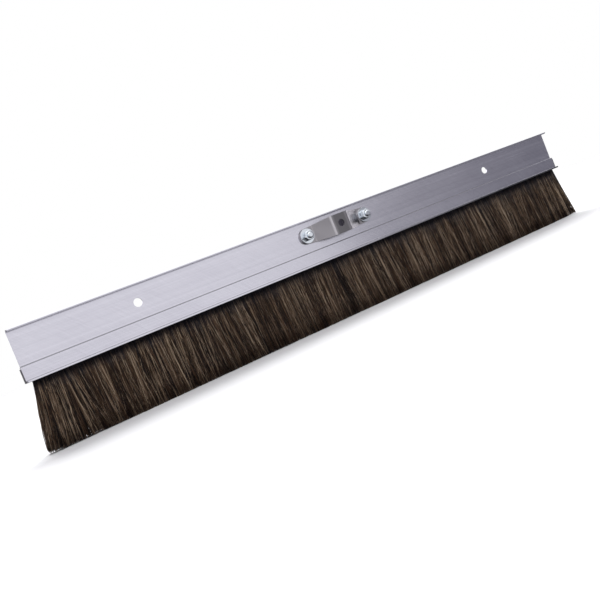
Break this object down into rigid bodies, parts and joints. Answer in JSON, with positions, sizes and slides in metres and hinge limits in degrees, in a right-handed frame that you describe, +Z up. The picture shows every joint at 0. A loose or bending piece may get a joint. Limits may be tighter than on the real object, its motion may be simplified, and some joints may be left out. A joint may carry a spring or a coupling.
{
  "type": "concrete broom head",
  "caption": "Concrete finishing broom head: horsehair strip brush held in a flanged aluminium back, with a bolted steel bridge for a handle.",
  "frame": {"origin": "centre of the handle hole, on the outer face of the bridge", "axes": "+X along the head, +Z up with the bristles hanging down, -Y out of the face that carries the bridge"},
  "size_m": [0.9298, 0.037, 0.1495],
  "materials": {
    "aluminium_back": "mill-finish extrusion with fine lengthwise lines",
    "strip_steel": "galvanised sheet and wire",
    "horsehair": "natural dark brown hair with grey and tan strands",
    "bracket_steel": "plain bent steel strap, satin",
    "zinc_fasteners": "bright blue-white zinc plating",
    "end_plug_plastic": "moulded dark grey"
  },
  "bodies": {
    "root": {"back_extrusion": "aluminium_back", "brush_strip_channel": "strip_steel", "core_wire": "strip_steel", "horsehair_fill": "horsehair", "handle_bracket": "bracket_steel", "back_washer_left": "zinc_fasteners", "back_washer_right": "zinc_fasteners", "bolt_left": "zinc_fasteners", "bolt_right": "zinc_fasteners", "front_washer_left": "zinc_fasteners", "front_washer_right": "zinc_fasteners", "nut_left": "zinc_fasteners", "nut_right": "zinc_fasteners", "end_plug_left": "end_plug_plastic", "end_plug_right": "end_plug_plastic"}
  },
  "joints": []
}
